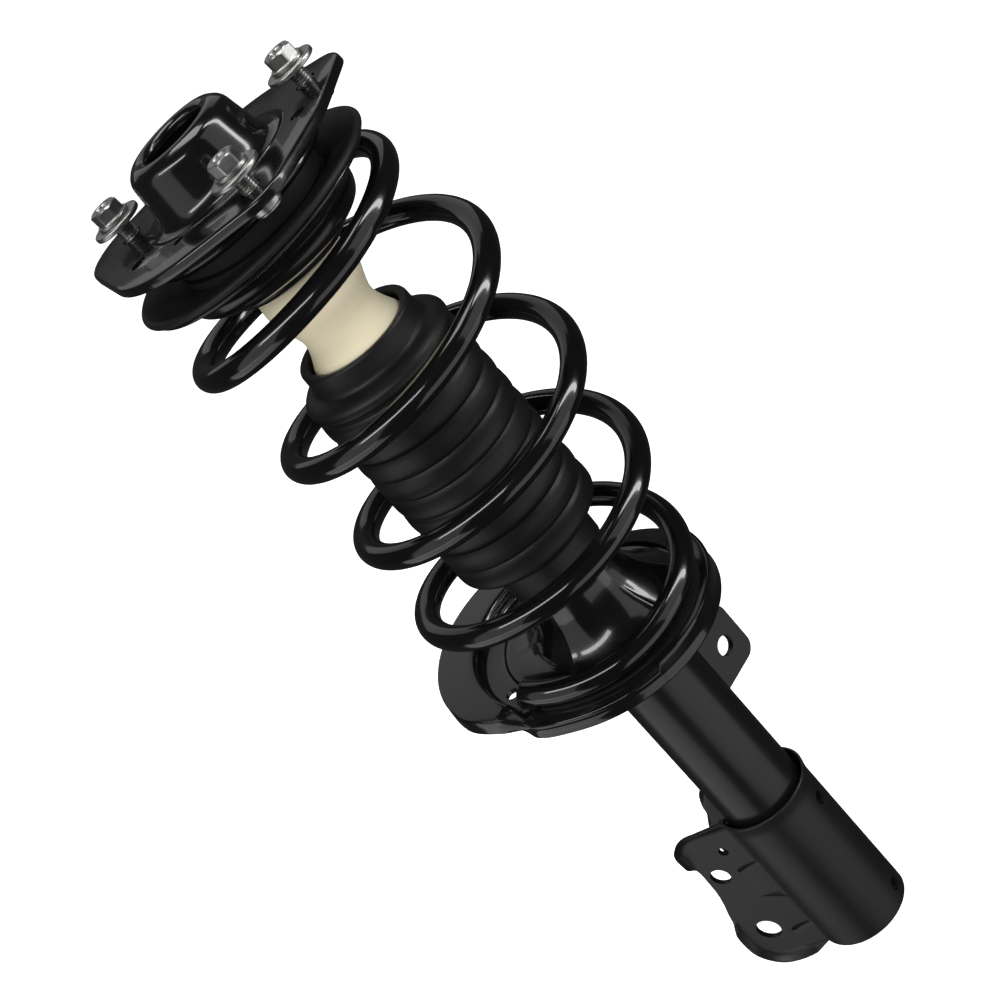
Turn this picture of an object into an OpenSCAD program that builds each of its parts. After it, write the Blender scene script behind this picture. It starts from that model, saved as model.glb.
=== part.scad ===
// Complete front strut: coil spring over damper, three-bolt top mount,
// two-ear knuckle bracket. Millimetres. Z runs up the damper rod, X points
// to the side the knuckle ears are on, origin on the mount's tower face.

/* [Top mount] */
// tilt of the mount plate against the rod, degrees
mount_tilt = 5; // [0:0.5:10]
// radius of the circle the three tower bolts stand on
bolt_circle_r = 64; // [50:1:80]
// angle of the two inboard bolts from the outboard one
bolt_spread = 136; // [110:1:150]
// thickness of the stamped plate
plate_t = 3.2; // [2:0.1:5]
// depth of the plate's turned-down rim
plate_rim = 5.5; // [3:0.5:12]
// height of the dome above the plate
dome_h = 31; // [20:1:45]
// outside radius of the dome at its foot
dome_r = 35; // [28:0.5:45]
// radius of the hole in the dome's top
dome_hole_r = 19; // [12:0.5:24]
// radius of the tower bolts' shanks
bolt_r = 5; // [4:0.5:6]
// gap between the plate and each bolt's washer as delivered
bolt_lift = 9; // [2:0.5:12]

/* [Upper seat and spring] */
// outside radius of the upper spring seat
seat_r = 73.5; // [65:0.5:85]
// radius of the spring wire
wire_r = 7; // [5:0.25:9]
// coil radius to the wire's centre at mid height
coil_r = 73.5; // [60:0.5:85]

/* [Damper] */
// outside radius of the strut tube
tube_r = 25.5; // [22:0.5:30]
// wall of the strut tube
tube_wall = 2.2; // [1.5:0.1:3.5]
// radius of the piston rod
rod_r = 11; // [9:0.5:13]
// bore radius of the pressure tube
bore_r = 16; // [13:0.5:18]
// height of the strut tube's top, from the origin
tube_top = -250; // [-300:1:-220]

/* [Knuckle bracket] */
// distance from the rod's axis to the two knuckle bolt holes
knuckle_x = 50.5; // [40:0.5:70]
// height of the upper knuckle hole
knuckle_z1 = -520; // [-540:1:-500]
// height of the lower knuckle hole
knuckle_z2 = -571.5; // [-600:0.5:-550]
// radius of the upper hole
knuckle_r1 = 6.3; // [5:0.1:9]
// radius of the lower hole
knuckle_r2 = 7.8; // [5:0.1:9]
// clear width between the ears, for the knuckle
clevis_gap = 30; // [20:0.5:40]
// sheet thickness of the bracket
bracket_t = 3.2; // [2:0.1:5]

/* [Lower seat] */
// tilt of the lower spring seat, up on the ears' side, degrees
seat_tilt = 6.5; // [0:0.5:10]
// outside radius of the lower seat's dish
dish_r = 72; // [65:0.5:80]
// height of the dish floor on its own centre
dish_z = -326; // [-340:0.5:-310]

/* [Stabiliser tab] */
// direction of the stabiliser link tab around the tube
tab_angle = -112; // [-180:1:180]
// radius of its hole
tab_hole_r = 6; // [4:0.5:8]

/* [Hidden] */
$fn = 96;
eps = 0.01;
bolt_angles = [0, bolt_spread, -bolt_spread];
lobe_rs = [28, 21, 21];
plate_core_r = 73;
washer_t = 3;
head_h = 9;
nut_h = 10;

// bearing, square to the rod
ball_r = 3;
ball_pitch_r = 37;
ball_z = -26;
ball_count = 24;
race_gap = 0.04;

// lower spring seat, set towards the ears
dish_x = 8;
lobe_x = 22;
lobe_seat_r = 81;
lobe_step = 8;
lobe_from = -68;
lobe_sweep = 128;

tube_in = tube_r - tube_wall;
tube_bottom = -592;
wrap_in = tube_r + 0.05;
wrap_out = tube_r + bracket_t;
ear_in = clevis_gap / 2;
ear_out = ear_in + bracket_t;
bracket_top = -480;
bracket_bottom = -591.5;

// how the spring's centre line runs: [angle, coil radius, height]
coil_path = [
    [-1700, 61, -316.9], [-1590, 61, -316.9], [-1530, 61.5, -316.5],
    [-1440, 65, -303.5], [-1260, 71.5, -267.0], [-1080, 73.5, -239.5],
    [-900, coil_r, -204.5], [-720, coil_r, -171.5], [-540, coil_r + 1, -139.0],
    [-360, coil_r + 1, -100.5], [-180, 72.5, -71.5], [-90, 70.5, -51.5],
    [0, 67.5, -42.0], [90, 64, -44.4], [150, 62, -47.0]
];
// sideways set of the coil by height: it bows to the side away from the ears
coil_bow = [[-320, 8], [-250, -0.5], [-180, -10.8], [-110, -10.6], [-45, -2]];
coil_phase = -142;
coil_steps = 184;
coil_sides = 12;

// ---------------------------------------------------------------- helpers

module ring(r_out, r_in, z0, z1) {
    translate([0, 0, z0]) difference() {
        cylinder(r = r_out, h = z1 - z0);
        translate([0, 0, -1]) cylinder(r = r_in, h = z1 - z0 + 2);
    }
}

module disc(r, z0, z1) {
    translate([0, 0, z0]) cylinder(r = r, h = z1 - z0);
}

// the mount's own frame, leaning with the tower
module tilted() {
    rotate([0, mount_tilt, 0]) children();
}

module at_bolt(i) {
    tilted() rotate(bolt_angles[i]) translate([bolt_circle_r, 0, 0]) children();
}

// flat lobed shape: a core disc run tangent into a disc at each bolt
module lobed_outline(inset = 0) {
    circle(r = plate_core_r - inset);
    for (i = [0:2]) rotate(bolt_angles[i]) {
        big = plate_core_r - inset;
        small = lobe_rs[i] - inset;
        c = (big - small) / bolt_circle_r;
        s = sqrt(1 - c * c);
        // the web's sides stop just inside both discs
        web_big = big - 0.25;
        web_small = small - 0.25;
        translate([bolt_circle_r, 0]) circle(r = small);
        polygon([
            [web_big * c, -web_big * s], [bolt_circle_r + web_small * c, -web_small * s],
            [bolt_circle_r + web_small * c, web_small * s], [web_big * c, web_big * s]
        ]);
    }
}

// straight part of a turned profile given as [radius, height] corners
module turned(corners) {
    rotate_extrude() polygon(corners);
}

// smooth value between the listed points of the coil's path
function path_key(a) =
    max([for (i = [0:len(coil_path) - 2]) coil_path[i][0] <= a ? i : 0]);
function path_at(a, k) =
    let (i = path_key(a), n = len(coil_path) - 1,
         p = coil_path[max(i - 1, 0)], q = coil_path[i],
         r = coil_path[min(i + 1, n)], s = coil_path[min(i + 2, n)],
         t = (a - q[0]) / (r[0] - q[0]),
         w = r[0] - q[0],
         m0 = (r[k] - p[k]) / max(r[0] - p[0], eps) * w,
         m1 = (s[k] - q[k]) / max(s[0] - q[0], eps) * w)
    q[k] * (2 * t^3 - 3 * t^2 + 1) + m0 * (t^3 - 2 * t^2 + t)
    + r[k] * (3 * t^2 - 2 * t^3) + m1 * (t^3 - t^2);

// the lower coils lean with the lower seat, the upper ones stand square
function coil_lean(z) = tan(seat_tilt) * min(1, max(0, (-80 - z) / 220));
function coil_point(a) =
    let (z = path_at(a, 2), r = path_at(a, 1), x = r * cos(a + coil_phase))
    [x + lookup(z, coil_bow), r * sin(a + coil_phase), z + coil_lean(z) * x];

// ---------------------------------------------------------------- top mount

module top_mount_plate() {
    color([0.09, 0.09, 0.10]) tilted() difference() {
        union() {
            // flat skin and turned-down rim
            translate([0, 0, -plate_t]) linear_extrude(plate_t) lobed_outline();
            translate([0, 0, -plate_rim]) linear_extrude(plate_rim) difference() {
                lobed_outline();
                lobed_outline(inset = plate_t);
            }
            // dome: fillet foot, leaning wall, rounded crown
            turned([
                [dome_r + 8, -plate_t], [dome_r + 8, 0], [dome_r + 3, 1.2], [dome_r + 0.8, 4],
                [dome_r - 1.6, dome_h - 9], [dome_r - 3.4, dome_h - 4], [dome_r - 7, dome_h - 1],
                [dome_r - 10, dome_h], [dome_hole_r + 3, dome_h], [dome_hole_r + 0.6, dome_h - 1],
                [dome_hole_r, dome_h - 3.2], [dome_hole_r, -plate_t]
            ]);
        }
        // hollow of the dome
        turned([
            [0, -plate_t - 1], [dome_r - 1, -plate_t - 1], [dome_r - 2.6, 4],
            [dome_r - 4.9, dome_h - 10], [dome_r - 7.2, dome_h - 5.5],
            [dome_r - 10, dome_h - 3.4], [dome_hole_r + 2.6, dome_h - 3.4],
            [dome_hole_r + 2.6, dome_h - 7], [0, dome_h - 7]
        ]);
        translate([0, 0, dome_h - 12]) cylinder(r = dome_hole_r, h = 20);
        // bolt holes, then the locating and drain holes
        for (i = [0:2]) rotate(bolt_angles[i]) translate([bolt_circle_r, 0, -10])
            cylinder(r = bolt_r + 1, h = 20);
        for (a = [49, 189]) rotate(a) translate([56, 0, -10]) cylinder(r = 4.5, h = 20);
        rotate(85) translate([48, 0, -10]) cylinder(r = 3.2, h = 20);
    }
}

module weld_nuts() {
    color([0.72, 0.73, 0.74]) for (i = [0:2]) at_bolt(i) difference() {
        union() {
            disc(8.5, -plate_t - nut_h + 1.5, -plate_t);
            disc(7.5, -plate_t - nut_h, -plate_t);
        }
        disc(bolt_r + 0.05, -plate_t - nut_h - 1, -plate_t + 1);
    }
}

module mount_lower_cup() {
    color([0.08, 0.08, 0.09]) tilted() {
        turned([
            [30, -11.5], [44, -11.5], [47, -8], [48, -plate_t], [53.6, -plate_t], [54.8, -5],
            [53.4, -7], [54.8, -9], [53.4, -11], [54.8, -13], [54, -16], [50.5, -17],
            [50.5, -14.5], [48, -13.5], [46, -14.5], [30, -14.5]
        ]);
    }
}

module mount_rubber() {
    color([0.05, 0.05, 0.05]) difference() {
        tilted() turned([
            [12, -11.3], [dome_r - 3, -11.3], [dome_r - 1.3, -plate_t],
            [dome_r - 3.0, 4], [dome_r - 5.3, 16], [dome_r - 9, 17.5], [26, 12],
            [20, 12], [16, 15], [12, 15]
        ]);
        disc(16, -40, 40);
        disc(22, -40, -9);
    }
}

module mount_inner_sleeve() {
    color([0.55, 0.56, 0.58]) {
        ring(16, 8.05, -9, 9);
        ring(22, 8.05, -14.5, -9);
    }
}

module rod_washer() {
    color([0.6, 0.6, 0.62]) ring(15.5, 7.2, 9, 12);
}

module rod_nut() {
    color([0.7, 0.7, 0.72]) difference() {
        union() {
            translate([0, 0, 12]) cylinder(r = 12.1, h = 9, $fn = 6);
            disc(13.6, 12, 14);
        }
        disc(7, 11, 22);
    }
}

module bearing_upper_race() {
    color([0.13, 0.13, 0.14]) difference() {
        ring(45, 29, ball_z + 1.2, -10);
        // trimmed to the leaning underside of the cup
        tilted() translate([-80, -80, -14.6]) cube([160, 160, 40]);
        ball_track();
    }
}

// groove the balls run in, shared by both races
module ball_track() {
    translate([0, 0, ball_z]) rotate_extrude() translate([ball_pitch_r, 0])
        circle(r = ball_r + race_gap);
}

module bolt(i) {
    color([0.75, 0.76, 0.77]) at_bolt(i) difference() {
        union() {
            head = bolt_lift + washer_t;
            translate([0, 0, head]) cylinder(r = 8.4, h = head_h, $fn = 6);
            disc(9.6, head, head + 2);
            disc(bolt_r, -plate_t - nut_h - 0.8, head);
        }
        // shallow dish in the head
        disc(4.6, bolt_lift + washer_t + head_h - 1.2, bolt_lift + washer_t + head_h + 1);
    }
}

module washer(i) {
    color([0.75, 0.76, 0.77]) at_bolt(i)
        ring(14, bolt_r + 1.2, bolt_lift, bolt_lift + washer_t - 0.1);
}

module bolt_outboard() { bolt(0); }
module bolt_front() { bolt(1); }
module bolt_rear() { bolt(2); }
module washer_outboard() { washer(0); }
module washer_front() { washer(1); }
module washer_rear() { washer(2); }

// ---------------------------------------------------------------- bearing

module bearing_balls() {
    color([0.8, 0.81, 0.82]) for (i = [0:ball_count - 1])
        rotate(i * 360 / ball_count) translate([ball_pitch_r, 0, ball_z]) sphere(r = ball_r);
}

module bearing_cage() {
    color([0.12, 0.12, 0.13]) difference() {
        ring(ball_pitch_r + 4.5, ball_pitch_r - 4.5, ball_z - 0.8, ball_z + 0.8);
        for (i = [0:ball_count - 1])
            rotate(i * 360 / ball_count) translate([ball_pitch_r, 0, ball_z - 5])
                cylinder(r = ball_r + 0.06, h = 10);
    }
}

module bearing_lower_race() {
    color([0.13, 0.13, 0.14]) difference() {
        ring(45, 29, -31, ball_z - 1.2);
        ball_track();
    }
}

// ---------------------------------------------------------------- upper seat

module upper_spring_seat() {
    color([0.06, 0.06, 0.06]) {
        difference() {
            union() {
                // hub under the bearing, square to the rod
                ring(47, 26, -36, -31);
                // dished flange, leaning with the mount
                tilted() turned([
                    [44, -33], [52, -27], [62, -24.5], [seat_r - 2, -24], [seat_r, -25.5],
                    [seat_r, -27], [seat_r - 2, -28.5], [62, -28.5], [53, -31], [44, -37]
                ]);
            }
            disc(46, -31, 0);
        }
    }
}

module upper_isolator() {
    color([0.04, 0.04, 0.04]) difference() {
        union() {
            // pilot the coil's end fits round, in two steps
            turned([
                [25.5, -36], [49, -36], [52, -38], [52.5, -42], [51, -46], [46, -49],
                [38.5, -50], [37.5, -54], [35, -56], [25.5, -56]
            ]);
            // pad the last coil bears on
            tilted() turned([[45, -35], [53.5, -31.2], [62, -28.6], [70, -28.6], [70, -31], [45, -39]]);
        }
        tilted() turned([[0, -20], [44, -33], [44, -37], [53, -31], [62, -28.5], [80, -28.5], [80, 0], [0, 0]]);
        disc(47.1, -36, -20);
    }
}

module bump_stop() {
    color([0.80, 0.77, 0.68]) difference() {
        turned([
            [rod_r + 0.5, -37], [25, -37], [25, -58], [26.6, -62], [27.4, -72], [27, -79],
            [24, -86], [21.8, -93], [22.6, -99], [25.4, -105], [28.4, -111], [28.6, -118],
            [25, -124], [22, -130], [20, -136], [18, -144], [rod_r + 0.5, -144]
        ]);
        // the urethane stands off the rod in its waist
        turned([[0, -70], [rod_r + 2, -74], [rod_r + 2, -110], [0, -116]]);
    }
}

module dust_boot() {
    bellows_top = -131;
    pitch = 13.8;
    folds = 9;
    outer = [for (i = [0:folds - 1])
        each [[40.6, bellows_top - i * pitch], [43.6, bellows_top - (i + 0.22) * pitch],
              [44.4, bellows_top - (i + 0.5) * pitch], [43.6, bellows_top - (i + 0.78) * pitch]]];
    inner = [for (i = [folds - 1:-1:0])
        each [[41.9, bellows_top - (i + 0.74) * pitch], [42.7, bellows_top - (i + 0.5) * pitch],
              [41.9, bellows_top - (i + 0.26) * pitch], [38.9, bellows_top - i * pitch]]];
    last = bellows_top - folds * pitch;
    color([0.05, 0.05, 0.05]) turned(concat(
        [[29, -107], [33.6, -106], [34.4, -108], [34.6, -119], [42, -121.5], [44.6, -124],
         [44.6, -128]],
        outer,
        [[40.6, last], [34, last - 5], [30, last - 7], [29.4, last - 26], [27.6, last - 26],
         [27.6, last - 8], [33, last - 3], [38.9, last]],
        inner,
        [[42.8, -128], [42.8, -125], [41, -123.2], [32.8, -120.8], [32.8, -115], [29, -115]]
    ));
}

// ---------------------------------------------------------------- spring

module coil_spring() {
    start = coil_path[1][0];
    stop = coil_path[len(coil_path) - 1][0];
    step = (stop - start) / coil_steps;
    pts = [for (k = [0:coil_steps])
        let (a = start + k * step, c = coil_point(a),
             ahead = coil_point(min(a + 1, stop)) - coil_point(max(a - 1, start)),
             run = ahead / norm(ahead),
             side = [cos(a + coil_phase), sin(a + coil_phase), 0],
             out = (side - (side * run) * run) / norm(side - (side * run) * run),
             up = cross(run, out))
        for (j = [0:coil_sides - 1])
            let (b = 360 * j / coil_sides) c + wire_r * (cos(b) * out + sin(b) * up)];
    n = coil_sides;
    sides = [for (k = [0:coil_steps - 1]) for (j = [0:n - 1])
        [k * n + j, k * n + (j + 1) % n, (k + 1) * n + (j + 1) % n, (k + 1) * n + j]];
    first = [for (j = [n - 1:-1:0]) j];
    final = [for (j = [0:n - 1]) coil_steps * n + j];
    color([0.07, 0.07, 0.08]) polyhedron(points = pts, faces = concat([first], sides, [final]));
}

// ---------------------------------------------------------------- damper

module piston_rod() {
    color([0.82, 0.83, 0.85]) {
        disc(rod_r, -292, -14.5);
        disc(8, -14.5, 9);
        disc(7, 9, 24);
        disc(6, -324, -292);
    }
}

module rebound_stop() {
    color([0.1, 0.1, 0.1]) ring(15, rod_r, -282.6, -274.4);
}

module piston() {
    color([0.45, 0.45, 0.46]) difference() {
        ring(bore_r - 0.6, 6, -312, -296);
        for (a = [0:60:300]) rotate(a) translate([10, 0, -320]) cylinder(r = 1.6, h = 30);
    }
}

module piston_band() {
    color([0.2, 0.2, 0.18]) ring(bore_r - 0.05, bore_r - 0.6, -309, -299);
}

module valve_discs() {
    color([0.7, 0.7, 0.7]) {
        ring(13, 6, -296, -294.5);
        ring(11.5, 6, -294.5, -292);
        ring(12.5, 6, -313.5, -312);
        ring(9.5, 6, -315, -313.5);
    }
}

module piston_nut() {
    color([0.6, 0.6, 0.62]) difference() {
        translate([0, 0, -323]) cylinder(r = 10.5, h = 8, $fn = 6);
        disc(6, -330, -300);
    }
}

module outer_tube() {
    color([0.10, 0.10, 0.11]) ring(tube_r, tube_in, tube_bottom, tube_top);
}

module base_cup() {
    color([0.10, 0.10, 0.11]) turned([
        [0, -596], [18, -596], [22, -595], [tube_in, -592], [tube_in, -580], [tube_in - 2, -580],
        [tube_in - 2, -590], [20, -592.5], [0, -592.5]
    ]);
}

module pressure_tube() {
    color([0.5, 0.5, 0.52]) ring(bore_r + 1.2, bore_r, -584, -264);
}

module rod_guide() {
    color([0.5, 0.5, 0.5]) difference() {
        union() {
            disc(tube_in, -264, -256);
            disc(bore_r, -274, -264);
        }
        disc(rod_r + 1.5, -280, -250);
    }
}

module guide_bushing() {
    color([0.65, 0.5, 0.3]) ring(rod_r + 1.5, rod_r + 0.05, -273, -257);
}

module rod_seal() {
    color([0.08, 0.08, 0.08]) ring(19, rod_r + 0.05, -256, -252.5);
}

module gland_cap() {
    color([0.12, 0.12, 0.12]) {
        ring(tube_in, 19, -256, -252.5);
        ring(tube_in, rod_r + 0.8, -252.5, tube_top);
    }
}

module bump_cap() {
    color([0.09, 0.09, 0.10]) turned([
        [rod_r + 1, tube_top], [tube_r, tube_top], [tube_r, tube_top - 9],
        [tube_r + 1.4, tube_top - 9], [tube_r + 1.4, tube_top + 1], [tube_r - 1, tube_top + 2.5],
        [rod_r + 1, tube_top + 2.5]
    ]);
}

module base_valve() {
    color([0.45, 0.45, 0.46]) difference() {
        union() {
            disc(bore_r, -584, -578);
            disc(bore_r + 1.2, -588, -584);
            for (a = [45:90:315]) rotate(a) translate([11, -2, -592.5]) cube([5, 4, 5]);
        }
        for (a = [0:60:300]) rotate(a) translate([10, 0, -600]) cylinder(r = 1.8, h = 40);
    }
}

module base_valve_disc() {
    color([0.7, 0.7, 0.7]) {
        disc(12.5, -578, -577.2);
        disc(5, -577.2, -574);
    }
}

// ---------------------------------------------------------------- lower seat

// the dish's own frame: set towards the ears and leaning up on their side
module dish_frame() {
    translate([dish_x, 0, dish_z]) rotate([0, -seat_tilt, 0]) children();
}

module lower_spring_seat() {
    color([0.07, 0.07, 0.08]) difference() {
        union() {
            // hub cone pressed on the tube
            difference() {
                turned([
                    [tube_r, -286], [tube_r + 2.4, -286], [tube_r + 4, -300], [35, -314],
                    [44, -324], [49, -336], [45.6, -336], [34, -318.5], [tube_r + 1.6, -303],
                    [tube_r + 1.2, -312], [tube_r, -312]
                ]);
                dish_frame() translate([0, 0, -53]) cylinder(r = 90, h = 50);
            }
            // dish the coil stands in, its floor and turned-down edge
            difference() {
                dish_frame() turned([
                    [0, 0], [dish_r - 7, 0], [dish_r - 3, -1], [dish_r, -3.5], [dish_r, -12],
                    [dish_r - 2.6, -12], [dish_r - 2.6, -5], [dish_r - 7, -3], [0, -3]
                ]);
                turned([[0, -345], [50, -345], [34, -319.5], [tube_r, -306], [0, -306]]);
            }
            // low lip opposite the ears
            dish_frame() rotate(136) rotate_extrude(angle = 92)
                polygon([[dish_r - 2.2, -11], [dish_r + 0.4, -11], [dish_r + 0.4, 2], [dish_r - 2.2, 1.2]]);
            // raised flange on the ears' side, and the wall up to it
            dish_frame() difference() {
                intersection() {
                    translate([lobe_x - dish_x, 0, 0]) difference() {
                        disc(lobe_seat_r, -3, lobe_step);
                        disc(lobe_seat_r - 2.6, -8, lobe_step - 2.6);
                    }
                    rotate(lobe_from) rotate_extrude(angle = lobe_sweep)
                        translate([30, -20]) square([90, 60]);
                }
                disc(dish_r - 1.3, -30, 40);
            }
            dish_frame() rotate(lobe_from + 1) rotate_extrude(angle = lobe_sweep - 2)
                translate([dish_r - 3.1, -2.6]) square([3.6, lobe_step + 2.1]);
        }
        // holes that let water out
        dish_frame() for (a = [60, 125, 200, 290]) rotate(a) translate([60, 0, -10])
            cylinder(r = 4, h = 20);
    }
}

module lower_isolator() {
    color([0.04, 0.04, 0.04]) dish_frame() rotate(76)
        rotate_extrude(angle = 190) polygon([[57.5, 0], [65.5, 0], [65.5, 1.4], [57.5, 1.4]]);
}

module stabiliser_tab() {
    color([0.10, 0.10, 0.11]) rotate(tab_angle) translate([0, 2, 0]) rotate([90, 0, 0])
        linear_extrude(4) difference() {
            polygon([
                [tube_r + 0.02, -424], [55, -424], [60, -419], [60, -388], [54, -382],
                [tube_r + 0.02, -382]
            ]);
            translate([44.6, -405.5]) circle(r = tab_hole_r);
        }
}

// ---------------------------------------------------------------- bracket

// outline of one ear seen from its side, X out from the tube, Y up
module ear_outline(inset = 0) {
    difference() {
        union() {
            translate([46.5, -496.5]) circle(r = 16.5 - inset);
            translate([47, -576]) circle(r = 22.5 - inset);
            polygon([
                [20, bracket_bottom - 6 + inset], [47, -598.5 + inset], [69.5 - inset, -576],
                [67.6 - inset, -558], [62.5 - inset, -538], [60 - inset, -510], [63 - inset, -496.5],
                [46.5, -480 - inset], [20, bracket_top - inset]
            ]);
        }
    }
}

module ear(side) {
    mid = side * (ear_in + bracket_t / 2);
    translate([0, mid + bracket_t / 2, 0]) rotate([90, 0, 0])
        linear_extrude(bracket_t) difference() {
            ear_outline();
            translate([knuckle_x, knuckle_z1]) circle(r = knuckle_r1);
            translate([knuckle_x, knuckle_z2]) circle(r = knuckle_r2);
            translate([36, -501.5]) circle(r = 3.2);
        }
    // edge turned outward along the top and round the bottom
    translate([0, side > 0 ? ear_out + 5 : -ear_out, 0]) rotate([90, 0, 0])
        linear_extrude(5) difference() {
            intersection() {
                ear_outline();
                union() {
                    translate([27, -506]) square([50, 40]);
                    translate([27, -620]) square([50, 58]);
                }
            }
            ear_outline(inset = bracket_t - 0.4);
        }
}

module knuckle_bracket() {
    color([0.10, 0.10, 0.11]) difference() {
        union() {
            ring(wrap_out, wrap_in, bracket_bottom, bracket_top);
            turned([
                [wrap_in, bracket_top - 1], [wrap_out, bracket_top - 8], [wrap_out + 1.6, bracket_top],
                [wrap_out + 1.6, bracket_top + 1.5], [wrap_in + 1.6, bracket_top + 1.5]
            ]);
            for (side = [-1, 1]) ear(side);
        }
        // the wrap is open between the ears, and the tube fills its middle
        translate([0, -ear_in, -700]) cube([100, clevis_gap, 300]);
        disc(wrap_in, -700, -400);
        // plug-weld holes at the back
        for (z = [-499, -580.5]) translate([0, 0, z]) rotate([0, -90, 0])
            cylinder(r = 4.2, h = 60);
    }
}

module bracket_inner_plate() {
    inner_top = -492;
    inner_bottom = -588;
    color([0.11, 0.11, 0.12]) difference() {
        union() {
            // saddle on the tube, with a leg along each ear
            ring(tube_r + 2.6, tube_r + 0.05, inner_bottom, inner_top);
            for (side = [-1, 1])
                translate([18, side > 0 ? ear_in - 2.55 : -ear_in + 0.05, inner_bottom])
                    cube([20, 2.5, inner_top - inner_bottom]);
        }
        translate([-100, -50, -700]) cube([100, 100, 300]);
        for (side = [-1, 1]) translate([-1, side > 0 ? ear_in - 0.05 : -ear_in - 40 + 0.05, -700])
            cube([60, 40, 300]);
        disc(tube_r + 0.05, -700, -400);
    }
}

// ---------------------------------------------------------------- draw

top_mount_plate();
weld_nuts();
mount_lower_cup();
mount_rubber();
mount_inner_sleeve();
rod_washer();
rod_nut();
bearing_upper_race();
bolt_outboard();
bolt_front();
bolt_rear();
washer_outboard();
washer_front();
washer_rear();
bearing_balls();
bearing_cage();
bearing_lower_race();
upper_spring_seat();
upper_isolator();
bump_stop();
dust_boot();
coil_spring();
piston_rod();
rebound_stop();
piston();
piston_band();
valve_discs();
piston_nut();
outer_tube();
base_cup();
pressure_tube();
rod_guide();
guide_bushing();
rod_seal();
gland_cap();
bump_cap();
base_valve();
base_valve_disc();
lower_isolator();
lower_spring_seat();
stabiliser_tab();
knuckle_bracket();
bracket_inner_plate();
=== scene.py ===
import math

import bmesh
import bpy
import numpy as np
from mathutils import Matrix, Vector


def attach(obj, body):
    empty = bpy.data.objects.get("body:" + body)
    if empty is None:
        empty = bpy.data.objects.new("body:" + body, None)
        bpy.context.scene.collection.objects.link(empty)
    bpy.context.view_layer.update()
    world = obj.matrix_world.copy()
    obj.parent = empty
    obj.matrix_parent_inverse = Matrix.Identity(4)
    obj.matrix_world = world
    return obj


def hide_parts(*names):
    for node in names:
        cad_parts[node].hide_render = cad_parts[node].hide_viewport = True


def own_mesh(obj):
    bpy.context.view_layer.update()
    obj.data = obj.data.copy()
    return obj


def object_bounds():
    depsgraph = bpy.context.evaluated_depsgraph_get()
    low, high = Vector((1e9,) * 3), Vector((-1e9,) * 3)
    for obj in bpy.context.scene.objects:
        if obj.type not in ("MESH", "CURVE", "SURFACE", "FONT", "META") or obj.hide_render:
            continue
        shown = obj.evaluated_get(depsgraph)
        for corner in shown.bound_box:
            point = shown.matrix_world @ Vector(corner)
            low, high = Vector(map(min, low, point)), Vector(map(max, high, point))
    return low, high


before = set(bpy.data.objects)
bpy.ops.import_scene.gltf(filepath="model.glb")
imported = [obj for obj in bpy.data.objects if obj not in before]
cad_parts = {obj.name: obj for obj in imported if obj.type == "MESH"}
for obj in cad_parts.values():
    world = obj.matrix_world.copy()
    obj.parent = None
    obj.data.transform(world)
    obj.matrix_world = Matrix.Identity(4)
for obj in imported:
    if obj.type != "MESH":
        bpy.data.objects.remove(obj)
cad_box = [list(corner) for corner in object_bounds()]
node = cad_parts

# ---- Viewpoint ----------------------------------------------------------------
# A product camera a little over a metre from the strut, looking down on it past
# the bolt side, rolled so that the strut lies from upper left to lower right.
lens_mm = 88.07
stand_at = Vector((-0.7059, 0.9067, 0.34215))
pan, tilt, roll = math.radians(-0.04), math.radians(26.55), math.radians(-41.68)
across = Vector((math.cos(pan), -math.sin(pan), 0))
ahead = Vector((math.sin(pan) * math.cos(tilt), math.cos(pan) * math.cos(tilt), -math.sin(tilt)))
above = across.cross(ahead)
ear_way, side_way = Vector((-0.78909, 0.61427, 0)), Vector((-0.61427, -0.78909, 0))


def to_strut(direction):
    """A direction given across, ahead of and above the viewer, in the strut's own axes."""
    return Vector((direction.dot(ear_way), direction.dot(side_way), direction.z))


rolled_across = to_strut(math.cos(roll) * across + math.sin(roll) * above)
rolled_up = to_strut(math.cos(roll) * above - math.sin(roll) * across)
camera = bpy.data.objects.new("camera", bpy.data.cameras.new("camera"))
camera.data.lens, camera.data.sensor_width = lens_mm, 36
camera.data.clip_end = 100
camera.matrix_world = Matrix.Translation(stand_at) @ Matrix(
    (rolled_across, rolled_up, -to_strut(ahead))).transposed().to_4x4()
bpy.context.scene.collection.objects.link(camera)
bpy.context.scene.camera = camera

# ---- Floor and light ----------------------------------------------------------
# A white seamless sweep, and large soft boxes hung so that the black paint shows
# a few long, clean highlights and stays deep black between them.
bpy.context.scene.view_settings.view_transform = "Standard"


class Value:
    """One number, colour or vector in a finish's nodes; arithmetic on it adds Math nodes."""

    def __init__(self, finish, socket):
        self.finish, self.socket = finish, socket

    def sum_with(self, operation, first, second):
        return self.finish.node("ShaderNodeMath", {"operation": operation}, {0: first, 1: second})

    def __add__(self, other): return self.sum_with("ADD", self, other)
    def __radd__(self, other): return self.sum_with("ADD", other, self)
    def __sub__(self, other): return self.sum_with("SUBTRACT", self, other)
    def __rsub__(self, other): return self.sum_with("SUBTRACT", other, self)
    def __mul__(self, other): return self.sum_with("MULTIPLY", self, other)
    def __rmul__(self, other): return self.sum_with("MULTIPLY", other, self)
    def __pow__(self, other): return self.sum_with("POWER", self, other)


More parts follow.
